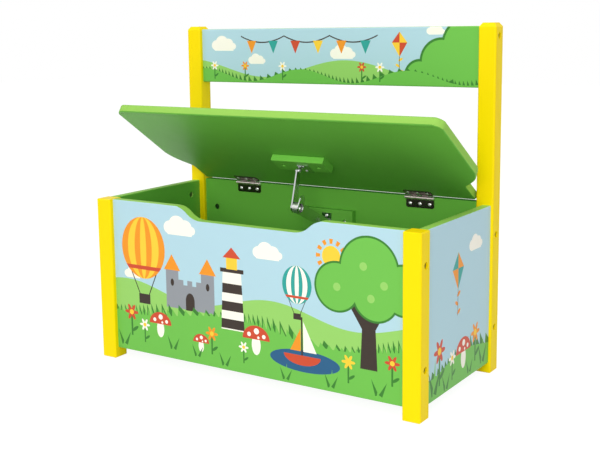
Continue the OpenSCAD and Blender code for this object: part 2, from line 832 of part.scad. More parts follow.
module back_block_screws() {
    color(metal_light) for (side = [-1, 1]) {
        translate([stay_x + side * block_screw_pitch / 2, block_face_y + block_sink, back_block_z])
            rotate([90, 0, 0])
                screw(block_head_r, block_head_h, block_screw_r, block_t - block_sink + block_bite);
    }
}

// A plate on the back block with two ears that carry the lower pivot
module base_bracket() {
    plate_y = block_face_y - stay_t;
    color(metal_light) difference() {
        union() {
            translate([stay_x - base_plate_w / 2, plate_y, base_z - base_plate_h / 2])
                cube([base_plate_w, stay_t, base_plate_h]);
            for (x = [stay_x - ear_x - stay_t, stay_x + ear_x]) {
                translate([x, base_y, base_z])
                    rotate([90, 0, 90])
                        linear_extrude(stay_t) {
                            circle(base_ear_r);
                            translate([0, -base_ear_r])
                                square([plate_y - base_y + 0.5, 2 * base_ear_r]);
                        }
            }
        }
        rod_x(stay_x - 2 * ear_x, stay_x + 2 * ear_x, base_y, base_z, stay_pin_r + run_gap);
        for (i = [-1, 1]) {
            rod_y(plate_y - 1, block_face_y + 1, stay_x, base_z + i * base_screw_pitch / 2,
                  small_screw_r + run_gap);
        }
    }
}

module base_bracket_screws() {
    color(metal_light) for (i = [-1, 1]) {
        translate([stay_x, block_face_y - stay_t, base_z + i * base_screw_pitch / 2])
            rotate([90, 0, 0])
                screw(small_head_r, 1.4, small_screw_r, stay_t + small_screw_l - 0.5);
    }
}

// A rivet through both ears, with a thicker middle that spaces the lower arm
module lower_pivot_pin() {
    x0 = stay_x - ear_x - stay_t;
    x1 = stay_x + ear_x + stay_t;
    color(metal_light) {
        rod_x(x0 - 0.1, x1 + 0.1, base_y, base_z, stay_pin_r);
        rod_x(x0 - 1.4, x0, base_y, base_z, stay_pin_r + 1.6);
        rod_x(x1, x1 + 1.4, base_y, base_z, stay_pin_r + 1.6);
        rod_x(x0 + stay_t, web_x - swing_gap, base_y, base_z, stay_pin_r + 1.5);
    }
}

// ---------------------------------------------------------------- stay arms

// Places a plan in Y and Z: its +X axis runs from the lower pivot to the elbow
module lower_plan(x) {
    translate([x, base_y, base_z])
        rotate([90, 0, 90])
            rotate([0, 0, 180 - lower_tilt])
                children();
}

// The same for the upper arm, from the elbow to the upper pivot
module upper_plan(x) {
    translate([x, elbow_y, elbow_z])
        rotate([90, 0, 90])
            rotate([0, 0, 180 - upper_tilt])
                children();
}

// A channel: a flat web on the right and two flanges that point to the left
module lower_arm() {
    size = 4 * elbow_r;
    color(metal_light) difference() {
        union() {
            lower_plan(web_x) {
                link_plate(lower_len, arm_end_r, elbow_r, stay_t);
                translate([lower_len, 0, 0]) rotate([0, 0, -90])
                    link_plate(tab_l, elbow_r, tab_r, stay_t);
            }
            lower_plan(web_x - arm_flange) difference() {
                link_plate(lower_len, arm_end_r, elbow_r, arm_flange + eps);
                translate([0, 0, -1])
                    link_plate(lower_len, arm_end_r - stay_t, elbow_r - stay_t, arm_flange + 2);
                translate([0, 0, -1]) cylinder(h = arm_flange + 2, r = flange_start);
                translate([lower_len, 0, -1]) cylinder(h = arm_flange + 2, r = elbow_r + swing_gap);
                translate([lower_len, -size / 2, -1]) cube([size, size, arm_flange + 2]);
            }
        }
        lower_plan(web_x - 1) {
            cylinder(h = stay_t + 2, r = stay_pin_r + run_gap);
            translate([lower_len, 0, 0]) cylinder(h = stay_t + 2, r = elbow_r - housing_wall);
        }
    }
}

// A cup round the elbow pin, closed on the left and seated on the web
module elbow_housing() {
    color(metal_light) difference() {
        rod_x(housing_x, web_x, elbow_y, elbow_z, elbow_r);
        rod_x(housing_x + housing_wall, web_x + 1, elbow_y, elbow_z, elbow_r - housing_wall);
        rod_x(housing_x - 1, web_x + 1, elbow_y, elbow_z, stay_pin_r + run_gap);
    }
}

module friction_washers() {
    color(metal_dark) for (x = [housing_x + housing_wall, pack_x - washer_t]) {
        difference() {
            rod_x(x, x + washer_t, elbow_y, elbow_z, elbow_r - housing_wall - 0.2);
            rod_x(x - 1, x + washer_t + 1, elbow_y, elbow_z, stay_pin_r + run_gap);
        }
    }
}

// Conical springs, stacked back to back between the washers
module disc_springs() {
    r0 = stay_pin_r + 0.3;
    r1 = elbow_r - housing_wall - 0.5;
    h = spring_h - 0.04;
    t = h / 2;
    color(metal_light) for (i = [0:spring_n - 1]) {
        translate([housing_x + housing_wall + washer_t + (i + 0.5) * spring_h, elbow_y, elbow_z])
            rotate([0, 90, 0])
                mirror([0, 0, i % 2])
                    rotate_extrude()
                        polygon([[r0, -h / 2], [r1, h / 2 - t], [r1, h / 2], [r0, t - h / 2]]);
    }
}

module elbow_pin() {
    x0 = upper_x - swing_gap;
    x1 = pack_x;
    color(metal_light) {
        rod_x(x0 - 0.1, x1 + 0.1, elbow_y, elbow_z, stay_pin_r);
        rod_x(x0 - pin_head_h, x0, elbow_y, elbow_z, free_eye_r + 2);
        rod_x(x1, x1 + pin_head_h, elbow_y, elbow_z, stay_pin_r + 2.5);
    }
}

// A flat bar with a wide eye at the elbow and a small one at the upper pivot
module upper_arm() {
    color(metal_light) difference() {
        upper_plan(upper_x) link_plate(upper_len, upper_eye_r, top_eye_r, upper_t);
        upper_plan(upper_x - 1) {
            cylinder(h = upper_t + 2, r = free_eye_r);
            translate([upper_len, 0, 0]) cylinder(h = upper_t + 2, r = top_pin_r + run_gap);
        }
    }
}

// ---------------------------------------------------------------- the toy box

mirror([1, 0, 0]) post_front();  // post_front_left
post_front();  // post_front_right
mirror([1, 0, 0]) post_rear();  // post_rear_left
post_rear();  // post_rear_right
front_panel();
mirror([1, 0, 0]) side_panel();  // side_panel_left
side_panel();  // side_panel_right
back_panel();
bottom_panel();
backrest_rail();
color(metal_dark) both_sides() joint_bolts_right();  // joint_bolts
color(metal_light) both_sides() barrel_nuts_right();  // barrel_nuts
color(raw_wood) both_sides() wooden_dowels_right();  // wooden_dowels
lid();
lid_stay_block();
lid_block_screws();
lid_stay_bracket();
lid_bracket_screws();
upper_pivot_pin();
lid_leaf(-1);  // lid_leaf_left
lid_leaf(1);  // lid_leaf_right
lid_leaf_screws();
back_leaf(-1);  // back_leaf_left
back_leaf(1);  // back_leaf_right
back_leaf_screws();
hinge_pin(-1);  // hinge_pin_left
hinge_pin(1);  // hinge_pin_right
back_stay_block();
back_block_screws();
base_bracket();
base_bracket_screws();
lower_pivot_pin();
lower_arm();
elbow_housing();
friction_washers();
disc_springs();
elbow_pin();
upper_arm();
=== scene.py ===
"""Finishes, shaped boards and a plain studio for a child's storage bench.

The frame of the bench is loaded first. Operators then shape the boards that have
rounded edges, finish every piece and set up the studio.
"""

import math

import bpy
from bpy.props import FloatProperty, FloatVectorProperty, PointerProperty
from mathutils import Matrix, Vector


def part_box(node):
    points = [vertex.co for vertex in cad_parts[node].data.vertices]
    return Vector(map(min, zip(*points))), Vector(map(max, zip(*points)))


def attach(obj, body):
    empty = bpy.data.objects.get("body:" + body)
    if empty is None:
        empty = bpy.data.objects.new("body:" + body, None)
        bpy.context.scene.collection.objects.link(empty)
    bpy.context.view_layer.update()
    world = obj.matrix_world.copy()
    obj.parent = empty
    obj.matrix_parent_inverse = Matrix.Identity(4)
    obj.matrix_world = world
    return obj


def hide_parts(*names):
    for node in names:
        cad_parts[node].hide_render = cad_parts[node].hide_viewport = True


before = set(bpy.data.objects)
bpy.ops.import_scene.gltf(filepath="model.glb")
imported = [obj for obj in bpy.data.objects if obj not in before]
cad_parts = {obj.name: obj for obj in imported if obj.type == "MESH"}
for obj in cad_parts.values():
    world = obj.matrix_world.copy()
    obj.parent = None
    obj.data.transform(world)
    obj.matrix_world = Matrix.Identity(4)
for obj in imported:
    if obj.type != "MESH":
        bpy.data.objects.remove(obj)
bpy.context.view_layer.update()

bl_info = {
    "name": "Storage bench",
    "version": (1, 0, 0),
    "blender": (4, 5, 0),
    "location": "View3D > Sidebar > Bench",
    "description": "Shapes and finishes a child's storage bench around its built frame",
    "category": "Object",
}

MM = 0.001

# How steeply the lid slopes at rest, in degrees
LID_SLOPE = 33.7
# Y and Z of the hinge pins, and the reach of the barrels around them, in mm
HINGE_AXIS = (114.5, 274.0)
BARREL_REACH = 3.8

# Materials that the front picture is split into, because one would be too large
STRIPS = 10
# Depth of a board's printed face, in mm
FACE_DEPTH = 1.2
# The reach of a motif that runs over the whole board, in mm
EVERYWHERE = 999
# A swag of the pennants' cord: its width, its depth and its drop from the rail's top, in mm
SWAG, SWAG_DEPTH, SWAG_DROP = 92.0, 44.0, 24.0
# A face with more than this of its normal along a direction is painted as facing that way
FACING = 0.6
# Painted shade on the lid and painted light on the stay block's front: their tones as shares of
# the green paint
LID_SHADE, BLOCK_FRONT_LIGHT = 0.87, 1.3

# Points nearer than this are merged, in metres
MERGE = 1e-6
# Faces that meet at less than this are joined, in degrees
FLAT_ANGLE = 0.5
# Edges sharper than this stay sharp in the shading, in degrees
SHARP_ANGLE = 35
# A board's side face spans more than the first share of its thickness, and a level edge
# less than the second
SIDE_SPAN, LEVEL_SPAN = 0.95, 0.1
# A side face has less than the first of its normal along the board's thickness, and a side
# looks along a direction from the second on
SIDE_LEAN, ALONG = 0.3, 0.9
BEVEL_STEPS = 4

# How far the floor lies below the feet, in metres, its glow and the share of the glow
FLOOR_DROP, FLOOR_GLOW, GLOW_SHARE = 0.0002, 1.16, 0.8
# The white world's strength as a light and as a background
WORLD_LIGHT, WORLD_SEEN = 0.52, 1.0
# The rays that see the background as white
SEEN_RAYS = ("Is Camera Ray", "Is Glossy Ray", "Is Transmission Ray")
# Each lamp's name, place, aim, size and power
LAMPS = (
    ("key_lamp", (1.3, -3.1, 1.35), (0, 0, 0.27), 1.8, 53.0),
    ("fill_lamp", (-2.6, -1.4, 2.2), (0, 0, 0.25), 2.0, 10.0),
    ("top_lamp", (0.3, -0.5, 2.7), (0, 0, 0.3), 1.8, 22.0),
)
# The camera's place, its turn, tip and roll in degrees, its lens, its shift and where its
# view starts
CAMERA_PLACE = (0.90399, -1.37082, 0.54644)
CAMERA_TURN, CAMERA_TIP, CAMERA_ROLL = 32.9925, 8.8957, -0.6604
CAMERA_LENS, CAMERA_SHIFT, CAMERA_NEAR = 61.492, -0.0583, 0.05


def srgb(red, green, blue):
    """Turns a colour written from 0 to 255 into the linear values that nodes use."""

    def linear(c):
        c /= 255
        return c / 12.92 if c <= 0.04045 else ((c + 0.055) / 1.055) ** 2.4

    return (linear(red), linear(green), linear(blue))


# ---------------------------------------------------------------- properties


def colour(name, description, default):
    """A colour that the panel shows."""
    return FloatVectorProperty(
        name=name, description=description, default=default, subtype="COLOR", min=0, max=1
    )


def length(name, description, millimetres, low, high):
    """A length that the panel shows."""
    return FloatProperty(
        name=name, description=description, default=millimetres * MM,
        min=low * MM, max=high * MM, unit="LENGTH", subtype="DISTANCE",
    )


class BenchColours(bpy.types.PropertyGroup):
    """Colours of the paints, of the prints and of the metal parts; some are painted highlight or
    painted shade.
    """

    yellow: colour("Posts", "Satin paint of the four posts", srgb(255, 224, 0))
    green: colour("Green paint", "Satin paint of the lid and of the inside", srgb(110, 186, 70))
    # Painted highlight: the board edges are painted lighter where they catch the light
    edge_highlight: colour("Light green", "Paint of the edges of the boards", srgb(150, 202, 88))
    sky: colour("Sky", "Ground colour of the prints", srgb(178, 212, 223))
    grass: colour("Grass", "Near hills of the prints", srgb(112, 190, 78))
    meadow: colour("Meadow", "Far hills of the prints", srgb(150, 206, 104))
    # Also painted on the back board's top edge, as painted shade
    leaf: colour("Leaf", "Dark green of leaves and outlines", srgb(62, 128, 50))
    bark: colour("Bark", "Dark brown of trunks and outlines", srgb(62, 52, 46))
    orange: colour("Orange", "Warm orange of the prints", srgb(240, 150, 40))
    sun: colour("Sun", "Yellow of the prints", srgb(250, 205, 60))
    brick: colour("Brick", "Red of the prints", srgb(206, 78, 50))
    stone: colour("Stone", "Grey of the prints", srgb(146, 150, 156))
    navy: colour("Navy", "Dark blue of the prints", srgb(44, 94, 134))
    teal: colour("Teal", "Teal of the prints", srgb(50, 160, 150))
    cream: colour("Cream", "Off-white of the prints", srgb(250, 246, 232))
    nickel: colour("Bright metal", "Plating of the stay", srgb(212, 214, 216))
    zinc: colour("Pale metal", "Plating of the screws, pins and elbow", srgb(236, 236, 234))
    # Darker than the bolts' own metal, as painted shade of the holes they sit in
    shaded_steel: colour("Grey metal", "Plating of the bolts and nuts in the posts", srgb(128, 128, 128))
    bronze: colour("Dark metal", "Plating of the hinge leaves", srgb(96, 88, 80))
    # Painted highlight on the hinge barrels
    barrel_highlight: colour("Barrel metal", "Plating of the hinge barrels", srgb(250, 236, 230))


class BenchSizes(bpy.types.PropertyGroup):
    """Sizes that the frame doesn't hold."""

    edge_round: length("Board edge", "Radius of the lid's rounded edges", 2, 0.5, 4)
    floor_width: length("Floor", "Width of the studio floor", 16000, 4000, 40000)


# ---------------------------------------------------------------- shader maths


class Value:
    """A shader socket used in an expression: each operator adds one Math node."""

    def __init__(self, finish, socket):
        self.finish = finish
        self.socket = socket

    def math(self, operation, *others):
        """A Math node on this value."""
        return self.finish.node("ShaderNodeMath", {"operation": operation}, self, *others)

    def __add__(self, other):
        return self.math("ADD", other)

    def __sub__(self, other):
        return self.math("SUBTRACT", other)

    def __mul__(self, other):
        return self.math("MULTIPLY", other)

    def __lt__(self, other):
        return self.math("LESS_THAN", other)

    def __gt__(self, other):
        return self.math("GREATER_THAN", other)

    def __or__(self, other):
        return self.math("MAXIMUM", other)

    def __rsub__(self, other):
        return self.finish.node("ShaderNodeMath", {"operation": "SUBTRACT"}, other, self)

    __radd__ = __add__
    __rmul__ = __mul__


class Finish:
    """A material with one Principled shader, and short calls for the nodes behind it."""

    def __init__(self, name, roughness, metallic=0.0, coat=0.0, specular=0.5):
        self.material = bpy.data.materials.new(name)
        self.material.use_nodes = True
        self.tree = self.material.node_tree
        self.tree.nodes.clear()
        output = self.tree.nodes.new("ShaderNodeOutputMaterial")
        self.shader = self.tree.nodes.new("ShaderNodeBsdfPrincipled")
        self.tree.links.new(self.shader.outputs[0], output.inputs[0])
        self.shader.inputs["Roughness"].default_value = roughness
        self.shader.inputs["Metallic"].default_value = metallic
        self.shader.inputs["Coat Weight"].default_value = coat
        self.shader.inputs["Specular IOR Level"].default_value = specular
        self.place = self.node("ShaderNodeTexCoord", {}, out="Object")

    def feed(self, socket, value):
        """Sets a socket to a number or colour, or links it."""
        if isinstance(value, Value):
            self.tree.links.new(value.socket, socket)
        elif socket.type == "RGBA":
            socket.default_value = (*value[:3], 1.0)
        else:
            socket.default_value = value

    def node(self, kind, settings, *values, out=0, **named):
        """Adds a node: its settings first, then its sockets in order or by name."""
        made = self.tree.nodes.new(kind)
        for key, value in settings.items():
            setattr(made, key, value)
        for socket, value in zip(made.inputs, values):
            self.feed(socket, value)
        for key, value in named.items():
            self.feed(made.inputs[key], value)
        return Value(self, made.outputs[out])

    def mix(self, factor, first, second):
        """Mixes two colours."""
        made = self.tree.nodes.new("ShaderNodeMix")
        made.data_type = "RGBA"
        for index, value in ((0, factor), (6, first), (7, second)):
            self.feed(made.inputs[index], value)
        return Value(self, made.outputs[2])

    def noise(self, scale, detail=2.0, stretch=(1, 1, 1)):
        """Noise from 0 to 1 over the piece, with its grain drawn out by stretch."""
        place = self.node("ShaderNodeMapping", {}, self.place, Scale=stretch)
        return self.node("ShaderNodeTexNoise", {}, Vector=place, Scale=scale, Detail=detail)

    def axis(self, index):
        """One coordinate of the piece, in millimetres."""
        return self.node("ShaderNodeSeparateXYZ", {}, self.place, out=index) * 1000.0

    def bump(self, height, distance, strength):
        """Raises the surface by height, in units of distance, in metres."""
        normal = self.node(
            "ShaderNodeBump", {}, Height=height, Distance=distance, Strength=strength
        )
        self.feed(self.shader.inputs["Normal"], normal)

    def colour(self, value):
        """Sets or links the base colour."""
        self.feed(self.shader.inputs["Base Color"], value)

    def rough(self, value):
        """Sets or links the roughness."""
        self.feed(self.shader.inputs["Roughness"], value)

    def toward(self, direction):
        """How much a face looks in a direction, from -1 to 1."""
        facing = self.node("ShaderNodeTexCoord", {}, out="Normal")
        return self.node(
            "ShaderNodeVectorMath", {"operation": "DOT_PRODUCT"}, facing, direction, out=1
        )

    def edges(self, flat):
        """1 on the edges of a board whose faces look along flat."""
        return self.toward(flat).math("ABSOLUTE") < FACING


class Print(Finish):
    """A printed board: a picture on one face, painted edges and back."""

    def __init__(self, name, across, ground):
        super().__init__(name, roughness=0.34, coat=0.06, specular=0.16)
        self.across = self.axis(across)
        self.up = self.axis(2)
        self.flat = self.node("ShaderNodeCombineXYZ", {}, self.across, self.up, 0.0)
        self.picture = ground

    def paint(self, mask, ink):
        """Prints an ink where the mask is 1."""
        self.picture = self.mix(mask, self.picture, ink)

    def local(self, x, z, wide, high, turn):
        """The flat place, centred on x and z, turned and divided by half sizes."""
        return self.node(
            "ShaderNodeMapping", {"vector_type": "TEXTURE"}, self.flat,
            Location=(x, z, 0), Rotation=(0, 0, math.radians(turn)), Scale=(wide, high, 1),
        )

    def oval(self, x, z, wide, high=None, turn=0.0):
        """1 inside an ellipse with these half sizes."""
        place = self.local(x, z, wide, high or wide, turn)
        return self.node("ShaderNodeVectorMath", {"operation": "LENGTH"}, place, out=1) < 1.0

    def parts(self, x, z, wide, high, turn=0.0):
        """The two local coordinates of a shape."""
        first = self.node("ShaderNodeSeparateXYZ", {}, self.local(x, z, wide, high, turn))
        return first, Value(self, first.socket.node.outputs[1])

    def block(self, x, z, wide, high, turn=0.0):
        """1 inside a rectangle with these half sizes."""
        a, b = self.parts(x, z, wide, high, turn)
        return (a.math("ABSOLUTE") | b.math("ABSOLUTE")) < 1.0

    def stroke(self, x0, z0, x1, z1, width):
        """1 on a straight line between two points."""
        run = math.hypot(x1 - x0, z1 - z0)
        turn = math.degrees(math.atan2(z1 - z0, x1 - x0))
        return self.block((x0 + x1) / 2, (z0 + z1) / 2, run / 2, width / 2, turn)

    def wedge(self, x, z, wide, high, turn=0.0):
        """1 inside a triangle: base centred on x and z, tip at high above it."""
        a, b = self.parts(x, z, wide, high, turn)
        return (a.math("ABSOLUTE") + b < 1.0) * (b > 0.0)

    def rolling(self, height, swell, wave, shift):
        """The height of a rolling line."""
        return (self.across * (1 / wave) + shift).math("SINE") * swell + height

    def below(self, height, swell, wave, shift):
        """1 below a rolling line."""
        return self.up < self.rolling(height, swell, wave, shift)

    def fringe(self, height, swell, wave, shift, pitch, tall):
        """1 below a fringe of pointed blades that stands on a rolling line."""
        sway = (self.across * (1 / 37.0)).math("SINE") * 1.7
        step = ((self.across + self.up * 0.25) * (1 / pitch) + sway).math("FRACT")
        spike = (1.0 - (step - 0.5).math("ABSOLUTE") * 2.0) * tall
        line = self.rolling(height, swell, wave, shift)
        return self.up < line + spike * (0.75 + sway * 0.14)

    def petals(self, x, z, size, count):
        """1 inside a flower with this many petals."""
        a, b = self.parts(x, z, size, size)
        angle = b.math("ARCTAN2", a)
        far = (a * a + b * b).math("SQRT")
        return far < (angle * float(count)).math("COSINE") * 0.28 + 0.72


# ---------------------------------------------------------------- printed motifs
#
# Each motif takes the board's art, the inks and the place of its middle along the board, so
# that one loop prints them all. Hills and fringes run over the whole width.


def print_hill(art, ink, x, shape, tone):
    """A rolling hill over the whole width."""
    art.paint(art.below(*shape), tone)


def print_fringe(art, ink, x, shape, tone):
    """A fringe of pointed blades over the whole width."""
    art.paint(art.fringe(*shape), tone)


def print_pond(art, ink, x, z, wide, high, tone):
    """A pond."""
    art.paint(art.oval(x, z, wide, high), tone)


def print_cloud(art, ink, x, z, size):
    """A cloud of four puffs on a flat base."""
    puffs = ((-0.75, 0.0, 0.5), (-0.2, 0.25, 0.62), (0.45, 0.12, 0.5), (0.9, -0.08, 0.32))
    mask = art.block(x, z - 0.22 * size, 0.95 * size, 0.22 * size)
    for dx, dz, radius in puffs:
        mask = mask | art.oval(x + dx * size, z + dz * size, radius * size, radius * size * 0.85)
    art.paint(mask * (art.up > z - 0.44 * size), ink.cream)


def print_blades(art, ink, x, z, size):
    """Three blades of grass from one root."""
    for lean, scale, tone in ((22, 0.8, ink.leaf), (-4, 1.0, ink.grass), (-26, 0.75, ink.leaf)):
        art.paint(art.wedge(x - lean * 0.12, z, size * 0.1, size * scale, lean), tone)


def print_flower(art, ink, x, z, size, tone):
    """A flower on a stalk with one leaf."""
    art.paint(art.stroke(x, z, x, z + size, size * 0.09), ink.leaf)
    art.paint(art.oval(x + size * 0.17, z + size * 0.3, size * 0.2, size * 0.07, 35), ink.leaf)
    art.paint(art.petals(x, z + size, size * 0.36, 6), tone)
    art.paint(art.oval(x, z + size, size * 0.11), ink.sun)


def print_toadstool(art, ink, x, z, size):
    """A toadstool with a spotted cap."""
    art.paint(art.oval(x, z + size * 0.3, size * 0.19, size * 0.36), ink.cream)
    cap = art.oval(x, z + size * 0.5, size * 0.58, size * 0.5) * (art.up > z + size * 0.5)
    art.paint(cap, ink.brick)
    spots = ((-0.3, 0.66, 0.08), (0.02, 0.8, 0.11), (0.33, 0.64, 0.075), (0.1, 0.58, 0.05))
    for dx, dz, radius in spots:
        art.paint(art.oval(x + dx * size, z + dz * size, radius * size), ink.cream)


def print_balloon(art, ink, x, z, size, first, second):
    """A hot-air balloon with upright stripes."""
    body = art.oval(x, z, size * 0.5, size * 0.56)
    for side in (-1, 1):
        rope = art.stroke(
            x + side * size * 0.3, z - size * 0.42, x + side * size * 0.1, z - size * 0.86,
            size * 0.02,
        )
        art.paint(rope, ink.bark)
    art.paint(body, first)
    for ring, tone in ((0.36, second), (0.2, first), (0.07, second)):
        art.paint(art.oval(x, z, size * ring, size * 0.56), tone)
    art.paint(body * art.block(x, z - size * 0.36, size * 0.5, size * 0.035), ink.brick)
    art.paint(art.block(x, z - size * 0.93, size * 0.13, size * 0.09), ink.bark)


def print_tower(art, ink, x, z, size):
    """A lighthouse with broad rings."""
    half, tall = size * 0.17, size * 0.72
    body = art.wedge(x, z, half, tall * 4.5) * (art.up < z + tall)
    art.paint(body, ink.cream)
    for level in (0.02, 0.32, 0.62):
        band = (art.up > z + tall * level) * (art.up < z + tall * (level + 0.16))
        art.paint(body * band, ink.bark)
    art.paint(art.block(x, z + tall, half, size * 0.025), ink.bark)
    art.paint(art.block(x, z + tall + size * 0.085, size * 0.08, size * 0.07), ink.sun)
    art.paint(art.wedge(x, z + tall + size * 0.15, size * 0.13, size * 0.13), ink.brick)


def print_castle(art, ink, x, z, size):
    """A castle with two roofed towers, a notched wall and a door."""
    towers = (x - 0.36 * size, x + 0.36 * size)
    high = 0.62 * size
    for middle in towers:
        art.paint(art.block(middle, z + high / 2, size * 0.13, high / 2), ink.stone)
        art.paint(art.wedge(middle, z + high, size * 0.17, size * 0.26), ink.orange)
    art.paint(art.block(x, z + size * 0.2, size * 0.3, size * 0.2), ink.stone)
    for dx in (-0.18, 0.0, 0.18):
        art.paint(art.block(x + dx * size, z + size * 0.43, size * 0.05, size * 0.05), ink.stone)
    arch = art.oval(x, z + size * 0.15, size * 0.09, size * 0.13)
    art.paint(arch | art.block(x, z + size * 0.07, size * 0.09, size * 0.08), ink.bark)
    for middle in towers:
        art.paint(art.oval(middle, z + size * 0.42, size * 0.035, size * 0.06), ink.bark)


def print_boat(art, ink, x, z, size):
    """A boat with a sail on each side of its mast."""
    hull = art.oval(x, z + size * 0.16, size * 0.42, size * 0.2) * (art.up < z + size * 0.16)
    art.paint(art.stroke(x, z + size * 0.1, x, z + size * 0.92, size * 0.035), ink.bark)
    foot, right, left = z + size * 0.24, x + size * 0.03, x - size * 0.03
    sail = art.wedge(right, foot, size * 0.3, size * 0.6) * (art.across > right)
    art.paint(sail, ink.cream)
    sail = art.wedge(left, foot, size * 0.24, size * 0.45) * (art.across < left)
    art.paint(sail, ink.orange)
    art.paint(hull, ink.brick)


def print_tree(art, ink, x, z, size):
    """A round tree: a dark trunk, then the crown on a dark outline."""
    art.paint(art.wedge(x, z, size * 0.08, size * 1.6) * (art.up < z + size * 0.7), ink.bark)
    for lean in (38, -34):
        art.paint(art.wedge(x, z + size * 0.32, size * 0.045, size * 0.5, lean), ink.bark)
    puffs = ((-0.3, 0.66, 0.2), (0.0, 0.84, 0.26), (0.32, 0.7, 0.2), (0.06, 0.62, 0.2))
    for grow, tone in ((0.018, ink.leaf), (0.0, ink.grass)):
        for dx, dz, radius in puffs:
            art.paint(art.oval(x + dx * size, z + dz * size, (radius + grow) * size), tone)
    for dx, dz in ((-0.3, 0.66), (-0.05, 0.86), (0.14, 0.72), (0.34, 0.74), (0.02, 0.6)):
        art.paint(art.oval(x + dx * size, z + dz * size, size * 0.035), ink.meadow)


def print_kite(art, ink, x, z, size, tone, other):
    """A kite in two tones, with three bows on its tail."""
    for dx, dz, turn in ((0.04, -0.62, 30), (-0.07, -0.84, -30), (0.05, -1.06, 30)):
        bow = art.oval(x + dx * size, z + dz * size, size * 0.1, size * 0.045, turn)
        art.paint(bow, other)
    tail = art.stroke(x, z - size * 0.4, x - size * 0.01, z - size * 1.15, size * 0.02)
    art.paint(tail, ink.bark)
    up = art.wedge(x, z, size * 0.32, size * 0.4)
    down = art.wedge(x, z, size * 0.32, size * 0.52, 180)
    art.paint(up | down, tone)
    art.paint(up * (art.across > x) | down * (art.across < x), other)


def print_sun(art, ink, x, z, size):
    """A sun with a ring of short rays."""
    a, b = art.parts(x, z, size, size)
    ray = (b.math("ARCTAN2", a) * 12.0).math("COSINE") > 0.1
    art.paint(art.oval(x, z, size) * ray * (1.0 - art.oval(x, z, size * 0.72)), ink.orange)
    art.paint(art.oval(x, z, size * 0.6), ink.sun)


# ---------------------------------------------------------------- finishes


def deeper(tone):
    """The darker tone of a cloudy paint."""
    return tuple(c * 0.93 for c in tone)


def satin_paint(name, tone, edge=None, flat=None, front=None, specular=0.16, roughness=0.36):
    """Sprayed satin paint: a faint orange-peel surface and slightly uneven tone.

    An edge tone goes on the edges of a board that lies flat along one direction, or on
    the one face that looks to the front. The edge tones are painted highlight or painted shade.
    """
    finish = Finish(name, roughness=roughness, specular=specular)
    cloudy = finish.noise(9.0, 3.0)
    base = finish.mix(cloudy, deeper(tone), tone)
    gloss = finish.noise(40.0) * 0.12 + (roughness - 0.06)
    if edge:
        side = finish.edges(flat) if flat else finish.toward(front) > FACING
        base = finish.mix(side, base, finish.mix(cloudy, deeper(edge), edge))
        gloss = gloss + side * 0.3
    finish.colour(base)
    finish.rough(gloss)
    peel = finish.noise(650.0, 1.0) * 0.7 + finish.noise(60.0, 2.0) * 0.3
    finish.bump(peel, 0.00012, 0.35)
    return finish.material


def plated_metal(name, tone, roughness, brush):
    """Plated sheet metal: fine brushing along the sheet and a few duller patches."""
    finish = Finish(name, roughness=roughness, metallic=1.0)
    lines = finish.noise(900.0, 2.0, brush)
    finish.colour(finish.mix(finish.noise(70.0), tuple(c * 0.85 for c in tone), tone))
    finish.rough(lines * 0.1 + finish.noise(45.0) * 0.12 + (roughness - 0.1))
    finish.bump(lines, 0.00003, 0.4)
    return finish.material


def hinge_plating(name, tone, barrel_highlight):
    """Dark plating with a painted highlight, broken up by noise, on the barrel around the hinge
    axis.
    """
    finish = Finish(name, roughness=0.24, metallic=1.0)
    y, z = finish.axis(1) - HINGE_AXIS[0], finish.axis(2) - HINGE_AXIS[1]
    barrel_highlight_mask = (y * y + z * z) < BARREL_REACH ** 2
    highlight_breakup = finish.noise(260.0, 2.0) * 0.35 + 0.65
    finish.colour(finish.mix(barrel_highlight_mask * highlight_breakup, tone, barrel_highlight))
    finish.rough(finish.noise(45.0) * 0.12 + barrel_highlight_mask * 0.16 + 0.16)
    finish.bump(finish.noise(900.0, 2.0, (0.05, 1, 1)), 0.00003, 0.4)
    return finish.material


def bare_wood(name):
    """Unpainted wood with its grain along X."""
    finish = Finish(name, roughness=0.62)
    rings = finish.noise(120.0, 4.0, (0.1, 1, 1))
    finish.colour(finish.mix(rings, srgb(196, 160, 112), srgb(222, 192, 146)))
    finish.bump(rings, 0.0002, 0.5)
    return finish.material


def dull_plastic(name):
    """Black plastic with a fine texture."""
    finish = Finish(name, roughness=0.5)
    finish.colour(finish.mix(finish.noise(80.0), (0.02, 0.02, 0.02), (0.04, 0.04, 0.04)))
    finish.bump(finish.noise(900.0), 0.00005, 0.4)
    return finish.material


def finish_print(art, face, flat, ink):
    """Puts the picture on its face, green paint on the back and a lighter green on the edges as
    painted highlight.
    """
    grain = art.noise(9.0, 3.0)
    side = art.edges(flat)
    # The edges get the light green, as painted highlight
    green = art.mix(side, art.mix(grain, deeper(ink.green), ink.green), ink.edge_highlight)
    art.colour(art.mix(face * (1.0 - side), green, art.picture))
    art.rough(art.noise(40.0) * 0.1 + side * 0.3 + 0.3)
    art.bump(art.noise(650.0, 1.0), 0.0001, 0.3)
    return art.material


